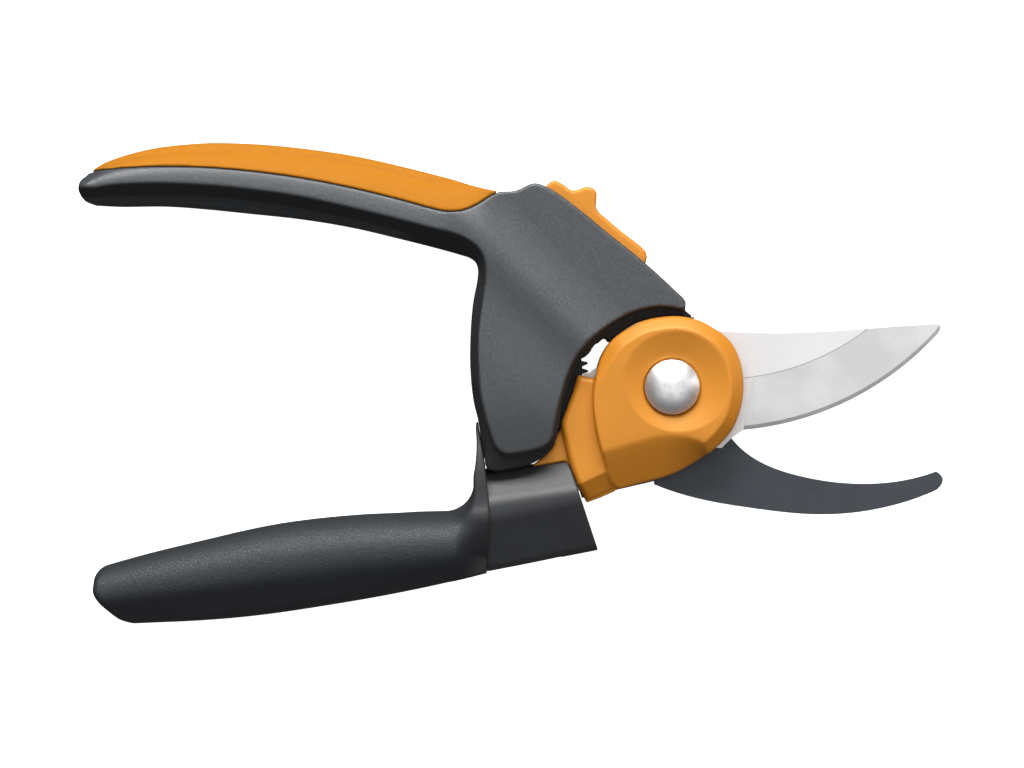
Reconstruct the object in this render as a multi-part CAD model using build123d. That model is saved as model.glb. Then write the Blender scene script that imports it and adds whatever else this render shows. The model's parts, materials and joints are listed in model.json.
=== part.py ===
from build123d import *
from math import acos, atan2, cos, degrees, pi, radians, sin, tan
import os

# Bypass pruner with a geared upper lever and a rolling lower handle, in millimetres.
#
# The tool lies flat. The jaw's cutting plane is parallel to the ground, X runs along the tool
# towards the blade tip, Y points from the rolling handle to the lever, and Z is up.
# The origin is the blade pivot's axis at ground level. Every part is drawn with z = 0 on the
# cutting plane and lifted by CUT_Z when it is written.

# ---------------------------------------------------------------- driving dimensions
CUT_Z = 12.0                      # height of the cutting plane above the ground
HALF_DEPTH = 12.0                 # half thickness of the handles
GAP = 0.3                         # clearance between parts that move past each other
RUN = 0.05                        # radial clearance of a running fit
REACH = 20.0                      # how far a through hole's tool reaches

BLADE_LOW, BLADE_HIGH = 0.05, 3.0 # blade and gear plates, just above the hook plate
HOOK_LOW, HOOK_HIGH = -3.5, 0.0
COVER_LOW = BLADE_HIGH + GAP      # inside face of the front cover, over the moving plates
NECK_TOP, NECK_BOTTOM = 6.8, -6.8 # outside faces of the covers where the lever passes over
WALL_IN_TOP, WALL_IN_BOTTOM = 7.2, -7.2   # inside faces of the lever's two side walls
HEAD_TOP, HEAD_BOTTOM = 11.0, -11.0       # crests of the raised round head covers
HEAD_BEVEL = 2.6

LEVER_PIVOT = Vector(-39.13, 3.63, 0)
GEAR_MODULE = 0.6
LEVER_TEETH, BLADE_TEETH = 62, 69 # full-circle counts of the two toothed sectors
PRESSURE_ANGLE = radians(20)
TOOTH_PLAY = 0.03                 # thinning of each tooth flank
LEVER_TOOTH_RANGE = range(-8, 4)  # teeth kept, counted from the line of centres
BLADE_TOOTH_RANGE = range(-1, 7)
GRIND_WIDTH, GRIND_EDGE = 12.4, 0.75      # the blade's long bevel and its height at the edge
EDGE_WIDTH, EDGE_START = 1.1, 1.0         # the short second bevel that makes the edge

BOLT_R = 4.0
BUSH_R = 5.0
DISC_R = 15.4                     # blade and hook plate round the blade pivot
DISH_R, DISH_DEPTH = 13.6, 4.0    # conical dish in the front cover
WASHER_LOW, WASHER_HIGH = 8.2, 8.7
DOME_R, DOME_LOW, DOME_HEIGHT = 6.5, 10.0, 2.5
NUT_TOP, BOLT_END = -9.6, -8.0
LEVER_PIN_R, LEVER_PIN_TOP = 3.0, 10.0
LEVER_BUSH_R = 4.2
EAR_R = 5.8
SCREW_R, SCREW_HEAD_R = 1.5, 2.7
SCREW_TIP, SCREW_SEAT, SCREW_HEAD_LOW = 4.4, -5.6, -6.7
BOSS_R = 2.3
RIVET_R, RIVET_HEAD_R, RIVET_HEAD_HEIGHT = 1.5, 2.4, 1.0
SPRING_WIRE_R, SPRING_COIL_R, SPRING_PITCH, SPRING_TURNS = 0.6, 4.7, 1.25, 2.25

ROLL_FACE = Vector(-23.3, -21.8, 0)  # centre of the rolling handle's front face
ROLL_ANGLE = 18.5                    # its axis, in degrees above +X
SPINDLE_R, SPINDLE_LENGTH = 3.2, 23.0
ROLL_BUSH_R = 4.2
ROLL_BUSHES = {"roll_bush_front": (-10.0, -0.4), "roll_bush_rear": (-23.0, -18.6)}
GROOVE_AT, GROOVE_R = -15.0, 2.2     # the spindle's groove for the retaining pin
RETAINING_PIN_R, RETAINING_PIN_DROP, RETAINING_PIN_TOP = 1.25, 3.7, 6.5

LOCK_START = Vector(-29.5, 47.4, 0)  # rear end of the lock slider on the lever's front edge
LOCK_ANGLE = -38.4
LOCK_LENGTH, LOCK_TRAVEL = 29.0, 8.0
LOCK_HALF_WIDTH = 4.5
DETENT_AT = 15.0                     # middle of the detent leaf, from LOCK_START

COVER_SCREWS = [(-3.6, -19.0), (-10.9, -21.0), (-23.4, -12.5)]
SPINDLE_RIVETS = [3.0, 7.2]          # distances in front of ROLL_FACE along the roll axis
TONGUE_LENGTH, TONGUE_WIDTH = 9.8, 6.6
GEAR_RIVETS = [(-42.2, 15.0), (-35.6, 16.6)]
GEAR_RIVET_LOW, GEAR_RIVET_HIGH = -4.0, 7.0


# ---------------------------------------------------------------- small helpers
def region(*edges):
    """The flat face inside a closed chain of edges."""
    return make_face(list(edges))


def slab(face, low, high):
    """A flat face, raised from one height to another."""
    return extrude(Pos(0, 0, low) * face, amount=high - low, dir=(0, 0, 1))


def disc(x, y, radius, low, high):
    """A vertical round bar."""
    return slab(Pos(x, y, 0) * Circle(radius), low, high)


def hole(x, y, radius):
    """The tool of a vertical through hole."""
    return disc(x, y, radius, -REACH, REACH)


def closed_spline(*points):
    """The flat face inside one smooth closed curve."""
    return region(Spline(*points, periodic=True))


def along_roll(start, end, radius, radius_end=None):
    """A round bar or cone on the roll axis, between two distances from the front face."""
    plane = Plane(origin=ROLL_FACE, x_dir=(0, 0, 1), z_dir=roll_direction())
    if radius_end is None:
        return extrude(plane.offset(start) * Circle(radius), amount=end - start)
    return loft([plane.offset(start) * Circle(radius), plane.offset(end) * Circle(radius_end)])


def roll_direction():
    """Unit vector along the roll axis, towards the blade."""
    return Vector(cos(radians(ROLL_ANGLE)), sin(radians(ROLL_ANGLE)), 0)


def roll_point(distance, across=0.0):
    """A point at a distance along the roll axis and across it, towards the lever."""
    along = roll_direction()
    return ROLL_FACE + along * distance + Vector(-along.Y, along.X, 0) * across


def spindle_rivet_places():
    """Where the spindle's rivets stand, as (x, y)."""
    points = [roll_point(distance) for distance in SPINDLE_RIVETS]
    return [(point.X, point.Y) for point in points]


def toothed_rim(teeth, centre_angle, indices):
    """Outline points of a row of involute teeth about the origin, in order of angle."""
    pitch_r = GEAR_MODULE * teeth / 2
    base_r = pitch_r * cos(PRESSURE_ANGLE)
    root_r, tip_r = pitch_r - 1.25 * GEAR_MODULE, pitch_r + GEAR_MODULE
    steps = 4                         # facets along one tooth's flank
    radii = [root_r + (tip_r - root_r) * k / steps for k in range(steps + 1)]
    flank = []
    for r in radii:
        at_r = acos(base_r / r)
        involute = tan(PRESSURE_ANGLE) - PRESSURE_ANGLE - tan(at_r) + at_r
        flank.append((r, pi / (2 * teeth) + involute - TOOTH_PLAY / pitch_r))
    points = []
    for index in indices:
        middle = radians(centre_angle) + index * 2 * pi / teeth
        rising = [(r, middle - half) for r, half in flank]
        falling = [(r, middle + half) for r, half in reversed(flank)]
        points += [(r * cos(a), r * sin(a)) for r, a in rising + falling]
    return points


def gear_sector(teeth, centre_angle, indices, inner):
    """A toothed sector's face about the origin; inner points close it behind the teeth."""
    return region(Polyline(*toothed_rim(teeth, centre_angle, indices), *inner, close=True))


# ---------------------------------------------------------------- outlines shared by parts
def head_outline():
    """The raised round head that surrounds the blade pivot."""
    return closed_spline((-14.0, 11.5), (-17.3, 5.6), (-18.8, -1.9), (-18.0, -10.3), (-16.2, -18.0),
                         (-13.4, -22.6), (-8.5, -23.1), (-2.0, -21.4), (5.0, -18.2), (11.6, -13.4),
                         (16.0, -6.2), (16.9, 3.0), (13.0, 11.8), (5.8, 16.1), (-3.8, 16.6))


def neck_outline():
    """The lower step that joins the head to the rolling handle and runs under the lever."""
    top = Line((-12.0, 1.6), (-22.6, 2.6))
    left = Spline((-22.6, 2.6), (-24.4, -2.6), (-26.6, -10.0), (-28.6, -14.4), (-31.0, -16.6))
    upper, lower = roll_point(GAP, 4.9), roll_point(GAP, -5.5)
    edges = Polyline((-31.0, -16.6), upper, lower, (-12.0, -24.2), (-12.0, 1.6))
    return region(top, left, edges)


def pad_seam():
    """Where the soft pad meets the lever's hard body, from the nose of the grip to its end."""
    return Spline((-41.5, 46.8), (-47.0, 43.2), (-53.0, 41.8), (-65.0, 44.5), (-89.0, 49.8),
                  (-113.0, 52.3), (-130.0, 52.2), (-139.4, 51.2))


def lever_outline():
    """The lever's hard body: round-ended plate over the pivot, running into the grip."""
    front = Spline((-41.5, 46.8), (-37.4, 46.8), (-32.8, 48.5), (-27.4, 46.2), (-17.0, 38.1),
                   (-6.5, 29.6), (1.4, 22.3))
    nose = Spline((1.4, 22.3), (3.0, 20.3), (3.1, 17.8))
    arc = Spline((3.1, 17.8), (-5.0, 18.0), (-14.2, 14.6), (-21.1, 8.2), (-26.2, -3.6),
                 (-28.3, -14.4), (-31.4, -16.8))
    foot = Spline((-31.4, -16.8), (-38.4, -18.9), (-44.4, -18.3))
    heel = Spline((-44.4, -18.3), (-46.8, -6.0), (-48.2, 7.7), (-47.4, 20.0), (-46.3, 26.0))
    crook = Spline((-46.3, 26.0), (-47.2, 29.8), (-52.0, 32.3))
    belly = Spline((-52.0, 32.3), (-65.0, 35.5), (-89.0, 40.3), (-113.0, 42.8), (-138.0, 43.5))
    end = Spline((-138.0, 43.5), (-141.5, 47.0), (-139.4, 51.2))
    return region(pad_seam(), front, nose, arc, foot, heel, crook, belly, end)


def pad_outline():
    """The soft pad along the back of the lever's grip."""
    top = Spline((-139.4, 51.2), (-132.2, 55.1), (-121.0, 57.7), (-105.8, 58.4),
                 (-89.0, 57.2), (-65.0, 52.9), (-41.5, 46.8))
    return region(top, pad_seam())


# ---------------------------------------------------------------- fixed frame
def make_hook_plate():
    """Hook, pivot disc, arm and ear of the lever pivot, cut from one plate."""
    inner = Spline((14.0, -11.6), (19.0, -16.5), (31.0, -21.4), (43.0, -23.2), (54.0, -22.8),
                   (63.8, -20.35))
    tip = Spline((63.8, -20.35), (65.2, -21.8), (63.8, -24.7))
    outer = Spline((63.8, -24.7), (52.6, -28.6), (35.8, -30.6), (19.0, -29.0), (7.0, -26.9),
                   (-4.0, -23.4))
    hook = region(inner, tip, outer, Line((-4.0, -23.4), (-4.0, -8.0)),
                  Line((-4.0, -8.0), (14.0, -11.6)))
    arm = region(Polyline((-4.0, 8.0), (-17.0, 0.8), (-22.2, 1.9), (-35.0, 7.2), (-42.5, 0.0),
                          (-30.5, -15.6), roll_point(GAP, 5.6), roll_point(GAP, -5.2),
                          (-4.0, -22.6), close=True))
    ear = Pos(*LEVER_PIVOT) * Circle(EAR_R)
    plate = slab(hook + arm + Circle(DISC_R) + ear, HOOK_LOW, HOOK_HIGH)
    plate -= hole(0, 0, BUSH_R)
    plate -= hole(LEVER_PIVOT.X, LEVER_PIVOT.Y, LEVER_BUSH_R)
    for x, y in COVER_SCREWS:
        plate -= hole(x, y, SCREW_R)
    for x, y in spindle_rivet_places():
        plate -= hole(x, y, RIVET_R)
    return plate


def make_cover(front):
    """One of the two covers that clamp the hook plate; the front one has the bolt's dish."""
    foot = COVER_LOW if front else HOOK_LOW
    step = NECK_TOP if front else NECK_BOTTOM
    crest = HEAD_TOP if front else HEAD_BOTTOM
    low, high = sorted((foot, crest))
    head = slab(head_outline(), low, high)
    crown = head.faces().sort_by(Axis.Z)[-1 if front else 0]
    head = chamfer(crown.edges(), HEAD_BEVEL)
    low, high = sorted((foot, step))
    cover = head + slab(neck_outline(), low, high)
    if front:
        cover = cover + make_flank_wall()
        cover -= Pos(0, 0, HEAD_TOP - DISH_DEPTH / 2) * Cone(DOME_R + 1.2, DISH_R, DISH_DEPTH)
        cover -= disc(0, 0, DOME_R + 0.35, WASHER_LOW, REACH)
        cover -= tongue_block(0.1)
        for x, y in COVER_SCREWS:
            cover -= disc(x, y, SCREW_R, -1, SCREW_TIP + 0.2)
    else:
        cover -= disc(0, 0, DOME_R, -REACH, NUT_TOP)
        for x, y in COVER_SCREWS:
            cover -= disc(x, y, SCREW_HEAD_R + 0.2, -REACH, SCREW_SEAT)
            cover -= disc(x, y, SCREW_R, -REACH, 0)
    cover -= hole(0, 0, BUSH_R)
    pocket = BLADE_HIGH + RIVET_HEAD_HEIGHT + 0.6
    for x, y in spindle_rivet_places():
        cover -= disc(x, y, RIVET_HEAD_R + 0.2, HOOK_LOW - RIVET_HEAD_HEIGHT - 0.1, pocket)
    return cover


def make_flank_wall():
    """The front cover's skirt and screw bosses, which stand on the hook plate."""
    outside = head_outline() + neck_outline()
    swept = Circle(GEAR_MODULE * (BLADE_TEETH / 2 + 1) + 0.4)
    heel_r = 17.2           # what the blade's heel sweeps
    sector = region(Polyline((0, 0), (3.5, -40), (-34, -30), (-26, -13.5), close=True))
    wall = (outside & sector) - swept
    wall -= Pos(*LEVER_PIVOT) * Circle(GEAR_MODULE * (LEVER_TEETH / 2 + 1) + 0.4)
    wall = slab(wall, 0, COVER_LOW)
    for x, y in COVER_SCREWS:
        wall += disc(x, y, BOSS_R, 0, COVER_LOW)
    wall -= disc(0, 0, heel_r, -1, COVER_LOW)
    return wall


def tongue_block(play=0.0):
    """The spindle's flat tongue, which lies on the hook plate inside the neck."""
    frame = Plane(origin=ROLL_FACE, x_dir=roll_direction(), z_dir=(0, 0, 1))
    outline = frame * (Pos(TONGUE_LENGTH / 2, 0)
                       * Rectangle(TONGUE_LENGTH + 2 * play, TONGUE_WIDTH + 2 * play))
    return slab(outline, 0, BLADE_HIGH + play)


def make_roll_spindle():
    """Steel spindle of the rolling handle, with its riveted tongue and a stopped groove."""
    spindle = along_roll(-SPINDLE_LENGTH, GAP, SPINDLE_R) + tongue_block()
    half_groove = RETAINING_PIN_R + GAP
    groove = along_roll(GROOVE_AT - half_groove, GROOVE_AT + half_groove, SPINDLE_R + 1)
    groove -= along_roll(GROOVE_AT - half_groove, GROOVE_AT + half_groove, GROOVE_R)
    spindle -= groove
    for x, y in spindle_rivet_places():
        spindle -= hole(x, y, RIVET_R)
    return spindle


def make_spindle_rivets():
    """Two rivets that hold the spindle's tongue to the hook plate."""
    rivets = []
    for x, y in spindle_rivet_places():
        shank = disc(x, y, RIVET_R, HOOK_LOW, BLADE_HIGH)
        heads = disc(x, y, RIVET_HEAD_R, HOOK_LOW - RIVET_HEAD_HEIGHT, HOOK_LOW)
        heads += disc(x, y, RIVET_HEAD_R, BLADE_HIGH, BLADE_HIGH + RIVET_HEAD_HEIGHT)
        rivets.append(shank + heads)
    return Compound(children=rivets)


def make_roll_bush(start, end):
    """Plastic bush between the spindle and the rolling handle's core."""
    return along_roll(start, end, ROLL_BUSH_R) - along_roll(start - 1, end + 1, SPINDLE_R + RUN)


def make_retaining_pin():
    """Cross pin in the core that runs in the spindle's groove and keeps the handle on."""
    x, y, _ = roll_point(GROOVE_AT, -RETAINING_PIN_DROP)
    return disc(x, y, RETAINING_PIN_R, -HALF_DEPTH + 1.6, RETAINING_PIN_TOP)


def make_pivot_bolt():
    """Domed bolt of the blade pivot."""
    ball_r = (DOME_R ** 2 + DOME_HEIGHT ** 2) / (2 * DOME_HEIGHT)
    ball = Pos(0, 0, DOME_LOW + DOME_HEIGHT - ball_r) * Sphere(ball_r)
    head = disc(0, 0, DOME_R, WASHER_HIGH, DOME_LOW)
    head += ball & disc(0, 0, DOME_R, DOME_LOW, REACH)
    return head + disc(0, 0, BOLT_R, BOLT_END, WASHER_HIGH)


def make_pivot_washer():
    """Washer under the bolt's head."""
    return disc(0, 0, DOME_R - 0.2, WASHER_LOW, WASHER_HIGH) - hole(0, 0, BOLT_R)


def make_pivot_bush():
    """Hard sleeve on the bolt, which the blade turns on."""
    return disc(0, 0, BUSH_R, NUT_TOP, WASHER_LOW) - hole(0, 0, BOLT_R)


def make_pivot_nut():
    """Flat closed nut on the back, with two blind holes for a pin spanner."""
    nut = disc(0, 0, DOME_R, -CUT_Z, NUT_TOP) + disc(0, 0, BOLT_R, NUT_TOP, BOLT_END)
    for side in (-1, 1):
        nut -= disc(4.2 * side, 0, 0.9, -REACH, NUT_TOP - 1)
    return nut


def make_cover_screws():
    """Three screws that pull the covers together through the hook plate."""
    screws = []
    for x, y in COVER_SCREWS:
        screw = disc(x, y, SCREW_R, SCREW_SEAT, SCREW_TIP)
        screw += disc(x, y, SCREW_HEAD_R, SCREW_HEAD_LOW, SCREW_SEAT)
        screw -= disc(x, y, 0.8, -REACH, SCREW_SEAT - 0.4)
        screws.append(screw)
    return Compound(children=screws)


def make_lever_pivot_bush():
    """Sleeve in the hook plate's ear, which the lever's pin turns in."""
    x, y = LEVER_PIVOT.X, LEVER_PIVOT.Y
    return disc(x, y, LEVER_BUSH_R, HOOK_LOW, HOOK_HIGH) - hole(x, y, LEVER_PIN_R + RUN)


# ---------------------------------------------------------------- blade
def blade_edge():
    """The cutting edge, one arc from the tip to the heel."""
    return ThreePointArc((64.1, 12.8), (43.0, -3.1), (17.2, -10.3))


def grind(width, edge_height, top):
    """The stock that is ground off along the cutting edge, down to edge_height."""
    edge = blade_edge()
    centre, radius = edge.arc_center, edge.radius
    slope = (top - edge_height) / width
    beyond = 6.0
    section = Polyline((radius - width, top), (radius - width, top + 2),
                       (radius + beyond, top + 2), (radius + beyond, edge_height - slope * beyond),
                       close=True)
    ring = revolve(Plane.XZ * region(section), axis=Axis.Z)
    in_front_of_heel = region(Polyline((19.6, 3.4), (17.2, -10.4), (15.5, -30), (90, -30),
                                       (90, 40), (26, 40), close=True))
    return (Pos(centre.X, centre.Y, 0) * ring) & slab(in_front_of_heel, -5, 9)


def make_blade():
    """Ground blade with the toothed sector that the lever drives."""
    spine = Spline((6.0, 13.9), (16.6, 13.1), (26.2, 12.9), (40.0, 13.5), (54.0, 14.5),
                   (62.6, 15.05))
    tip = Spline((62.6, 15.05), (64.6, 14.75), (64.1, 12.8))
    heel = Polyline((17.2, -10.3), (14.4, -12.2), (12.0, -14.6), (6.0, -14.4), (6.0, 13.9))
    outline = region(spine, tip, blade_edge(), heel)
    line_of_centres = degrees(atan2(LEVER_PIVOT.Y, LEVER_PIVOT.X))
    rim = gear_sector(BLADE_TEETH, line_of_centres + 180 / BLADE_TEETH, BLADE_TOOTH_RANGE,
                      [(-6.0, -13.0), (2.0, 0.0), (-8.0, 12.0)])
    blade = slab(outline + Circle(DISC_R) + rim, BLADE_LOW, BLADE_HIGH)
    blade -= hole(0, 0, BUSH_R + RUN)
    blade -= grind(GRIND_WIDTH, GRIND_EDGE, BLADE_HIGH)
    blade -= grind(EDGE_WIDTH, BLADE_LOW + 0.1, EDGE_START)
    return blade


# ---------------------------------------------------------------- lever
def lever_slot():
    """The space between the lever's side walls, open to the head and at the foot."""
    outline = region(Polyline((-52.0, -17.4), (-43.6, -17.0), (-44.6, -4.0), (-45.6, 4.0),
                              (-43.6, 10.4), (-38.4, 11.6), (-27.0, 10.6), (-19.5, 13.5),
                              (-8.0, 10.0), (-8.0, -40.0), (-52.0, -40.0), close=True))
    return slab(outline, WALL_IN_BOTTOM, WALL_IN_TOP)


def lock_frame():
    """Plane on the lever's front edge: x along the edge, y out of the lever."""
    angle = radians(LOCK_ANGLE)
    return Plane(origin=LOCK_START, x_dir=(cos(angle), sin(angle), 0), z_dir=(0, 0, 1))


def lock_foot(start, end, play=0.0):
    """The T-shaped foot of the lock slider, or with play the groove it runs in."""
    stem = Pos((start + end) / 2, -0.75) * Rectangle(end - start, 3.9)
    bar = Pos((start + end) / 2, -2.6) * Rectangle(end - start, 1.6 + 2 * play)
    stem_solid = slab(lock_frame() * stem, -1.6 - play, 1.6 + play)
    return stem_solid + slab(lock_frame() * bar, -3.2 - play, 3.2 + play)


def detent_pocket():
    """The pocket under the slider's groove that the detent leaf lies in."""
    pocket = Pos(DETENT_AT, -4.4) * Rectangle(20.0, 2.0)
    return slab(lock_frame() * pocket, -2.1, 2.1)


def gear_tail():
    """The tail of the lever's gear plate."""
    return region(Polyline((-45.0, 2.0), (-45.2, 18.6), (-32.6, 20.2), (-30.0, 12.0),
                           (-34.0, 2.0), close=True))


def make_lever_body():
    """Moulded lever: side walls over the gear, joined by a web and by the grip."""
    body = slab(lever_outline(), -HALF_DEPTH, HALF_DEPTH)
    body = chamfer(body.faces().filter_by(Axis.Z).edges(), 1.6)
    body -= lever_slot()
    body -= lever_gear_blank()
    body -= lock_foot(1.0, LOCK_LENGTH + LOCK_TRAVEL, GAP)
    body -= detent_pocket()
    x, y = LEVER_PIVOT.X, LEVER_PIVOT.Y
    body -= disc(x, y, LEVER_PIN_R, -REACH, LEVER_PIN_TOP)
    for x, y in GEAR_RIVETS:
        body -= disc(x, y, RIVET_R + 0.02, GEAR_RIVET_LOW - 0.1, GEAR_RIVET_HIGH + 0.1)
    return body


def make_lever_grip_pad():
    """Soft pad along the back of the grip."""
    pad = slab(pad_outline(), -HALF_DEPTH + 1.0, HALF_DEPTH - 1.0)
    rims = pad.faces().filter_by(Axis.Z)
    return chamfer(rims.edges(), 1.2)


def lever_gear_blank():
    """The lever's gear plate before its holes are made."""
    line_of_centres = degrees(atan2(-LEVER_PIVOT.Y, -LEVER_PIVOT.X))
    rim = gear_sector(LEVER_TEETH, line_of_centres, LEVER_TOOTH_RANGE,
                      [(4.0, 9.0), (-5.0, 6.0), (-5.0, -7.0), (2.0, -9.0)])
    return slab((Pos(*LEVER_PIVOT) * rim) + gear_tail(), BLADE_LOW, BLADE_HIGH)


def make_lever_gear():
    """Steel toothed plate that drives the blade."""
    plate = lever_gear_blank()
    plate -= hole(LEVER_PIVOT.X, LEVER_PIVOT.Y, LEVER_PIN_R)
    for x, y in GEAR_RIVETS:
        plate -= hole(x, y, RIVET_R)
    return plate


def make_gear_rivets():
    """Two pins that lock the gear plate into the lever."""
    pins = [disc(x, y, RIVET_R, GEAR_RIVET_LOW, GEAR_RIVET_HIGH) for x, y in GEAR_RIVETS]
    return Compound(children=pins)


def make_lever_pin():
    """Pin of the lever pivot, pressed into the lever from the back."""
    x, y = LEVER_PIVOT.X, LEVER_PIVOT.Y
    return disc(x, y, LEVER_PIN_R, -HALF_DEPTH + 0.5, LEVER_PIN_TOP)


def make_return_spring():
    """Wire spring round the lever's pin, which opens the handles."""
    path = Helix(SPRING_PITCH, SPRING_PITCH * SPRING_TURNS, SPRING_COIL_R)
    coil = sweep(Plane(origin=path @ 0, z_dir=path % 0) * Circle(SPRING_WIRE_R), path=path)
    return Pos(LEVER_PIVOT.X, LEVER_PIVOT.Y, BLADE_HIGH + 0.75) * coil


def make_lock_detent_spring():
    """Leaf whose crest clicks into the slider's two notches."""
    x = DETENT_AT
    upper = Polyline((x - 9.5, -4.8), (x - 4.0, -4.8), (x - 1.4, -4.3), (x, -3.1),
                     (x + 1.4, -4.3), (x + 4.0, -4.8), (x + 9.5, -4.8))
    lower = Polyline((x + 9.5, -4.8), (x + 9.5, -5.2), (x + 3.9, -5.2), (x + 1.2, -4.7), (x, -3.6),
                     (x - 1.2, -4.7), (x - 3.9, -5.2), (x - 9.5, -5.2), (x - 9.5, -4.8))
    return slab(lock_frame() * region(upper, lower), -1.8, 1.8)


def make_lock_slider():
    """Thumb slide on the lever's front edge."""
    thumb = Spline((0.0, 0.9), (0.2, 2.9), (4.4, 3.3), (8.2, 6.8), (12.0, 3.6), (14.0, 3.1))
    rail = Polyline((14.0, 3.1), (27.6, 3.1), (29.4, 0.9), (0.0, 0.9))
    face = region(thumb, rail)
    slider = slab(lock_frame() * face, -LOCK_HALF_WIDTH, LOCK_HALF_WIDTH)
    slider += lock_foot(2.0, LOCK_LENGTH - 2.0)
    for at in (DETENT_AT, DETENT_AT - LOCK_TRAVEL):
        notch = Polyline((at - 2.0, -3.5), (at, -2.3), (at + 2.0, -3.5), close=True)
        slider -= slab(lock_frame() * region(notch), -4, 4)
    return slider


# ---------------------------------------------------------------- rolling handle
def lobe_plane(distance):
    """A plane square to the roll axis: its x is up from the ground, y towards the palm."""
    return Plane(origin=roll_point(distance), x_dir=(0, 0, 1), z_dir=roll_direction())


def roll_core_blank():
    """The core's outside: round under the lever, with a palm swell that runs into the grip."""
    top = along_roll(-24.0, -0.4, 8.2, 4.9)
    sections = [(-0.4, 7.6, 10.4, 9.0), (-12.0, 7.0, 10.0, 10.2), (-24.0, 5.8, 9.6, 10.6),
                (-34.0, 6.0, 6.6, 8.0), (-48.0, 5.0, 5.0, 6.5)]
    lobe = loft([lobe_plane(s) * (Pos(0, drop) * Ellipse(wide, tall))
                 for s, drop, tall, wide in sections])
    return top + lobe


def make_roll_core():
    """Hard core of the rolling handle, bored for its two bushes and the retaining pin."""
    core = roll_core_blank()
    core -= along_roll(-SPINDLE_LENGTH - GAP, 1, SPINDLE_R + GAP)
    for start, end in ROLL_BUSHES.values():
        core -= along_roll(start, end, ROLL_BUSH_R)
    return core - make_retaining_pin()


GRIP_SECTIONS = [
    # x, top y, bottom y, half depth of the soft grip, from its rear end to its front end
    (-137.6, -44.6, -50.4, 5.0), (-134.4, -42.1, -54.0, 8.2), (-127.0, -39.9, -57.0, 10.0),
    (-112.0, -36.4, -56.6, 11.2), (-90.0, -31.7, -54.0, 11.9), (-66.0, -30.0, -49.7, 12.0),
    (-50.0, -27.4, -46.0, 11.8), (-46.4, -20.6, -45.2, 11.2)]


def make_roll_grip():
    """Soft grip moulded over the core, with a thin guard that rises in front of the fingers."""
    sections = []
    for x, top, bottom, depth in GRIP_SECTIONS:
        centre = Vector(x, (top + bottom) / 2, 0)
        section_plane = Plane(origin=centre, x_dir=(0, 1, 0), z_dir=(1, 0, 0))
        sections.append(section_plane * Ellipse((top - bottom) / 2, depth))
    grip = loft(sections)
    guard_plane = Plane(origin=(-47.0, -24.0, 0), x_dir=(-0.12, 1, 0), z_dir=(1, 0.12, 0))
    guard = extrude(guard_plane * Ellipse(15.8, 9.5), amount=0.5, both=True)
    return grip + guard - roll_core_blank()


# ---------------------------------------------------------------- output
def main():
    """Build every piece, lift it to ground level and write it."""
    pieces = {
        "hook_plate": make_hook_plate(),
        "head_cover_front": make_cover(front=True),
        "head_cover_back": make_cover(front=False),
        "cover_screws": make_cover_screws(),
        "pivot_bolt": make_pivot_bolt(),
        "pivot_washer": make_pivot_washer(),
        "pivot_bush": make_pivot_bush(),
        "pivot_nut": make_pivot_nut(),
        "lever_pivot_bush": make_lever_pivot_bush(),
        "roll_spindle": make_roll_spindle(),
        "spindle_rivets": make_spindle_rivets(),
        "retaining_pin": make_retaining_pin(),
        "blade": make_blade(),
        "lever_body": make_lever_body(),
        "lever_grip_pad": make_lever_grip_pad(),
        "lever_gear": make_lever_gear(),
        "gear_rivets": make_gear_rivets(),
        "lever_pin": make_lever_pin(),
        "return_spring": make_return_spring(),
        "lock_slider": make_lock_slider(),
        "lock_detent_spring": make_lock_detent_spring(),
        "roll_core": make_roll_core(),
        "roll_grip": make_roll_grip(),
    }
    for name, (start, end) in ROLL_BUSHES.items():
        pieces[name] = make_roll_bush(start, end)
    os.makedirs("parts", exist_ok=True)
    for name, piece in pieces.items():
        export_step(Pos(0, 0, CUT_Z) * piece, f"parts/{name}.step")


main()
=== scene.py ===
"""Visual model of a bypass pruner: smooth moulded shells, leather-grained grip, ground steel.

The moulded shapes are signed distance fields in millimetres, in the CAD frame, turned into closed
meshes by surface nets and scaled to metres. Heights are counted from the jaw's cutting plane.
"""
import json

import bpy
import numpy as np
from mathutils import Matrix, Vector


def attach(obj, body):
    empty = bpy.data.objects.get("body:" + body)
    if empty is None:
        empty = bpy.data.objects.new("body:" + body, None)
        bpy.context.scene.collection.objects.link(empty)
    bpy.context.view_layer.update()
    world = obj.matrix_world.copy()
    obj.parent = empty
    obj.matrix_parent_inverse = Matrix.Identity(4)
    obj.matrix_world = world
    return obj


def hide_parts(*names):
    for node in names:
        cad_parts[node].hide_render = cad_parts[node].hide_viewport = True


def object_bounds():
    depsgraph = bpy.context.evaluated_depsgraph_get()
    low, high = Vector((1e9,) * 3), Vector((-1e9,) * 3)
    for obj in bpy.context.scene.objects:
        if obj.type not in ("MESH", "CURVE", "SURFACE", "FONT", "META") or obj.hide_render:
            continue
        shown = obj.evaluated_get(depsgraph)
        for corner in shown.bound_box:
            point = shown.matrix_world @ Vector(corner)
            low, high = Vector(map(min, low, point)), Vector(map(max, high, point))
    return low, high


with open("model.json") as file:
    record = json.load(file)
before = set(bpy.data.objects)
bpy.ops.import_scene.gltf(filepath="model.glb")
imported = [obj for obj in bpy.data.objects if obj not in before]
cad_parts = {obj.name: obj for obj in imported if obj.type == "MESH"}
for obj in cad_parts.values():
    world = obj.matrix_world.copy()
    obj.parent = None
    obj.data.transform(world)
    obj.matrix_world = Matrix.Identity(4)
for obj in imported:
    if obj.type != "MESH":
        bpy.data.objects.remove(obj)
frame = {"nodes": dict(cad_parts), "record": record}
cad_low, cad_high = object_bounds()

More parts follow.
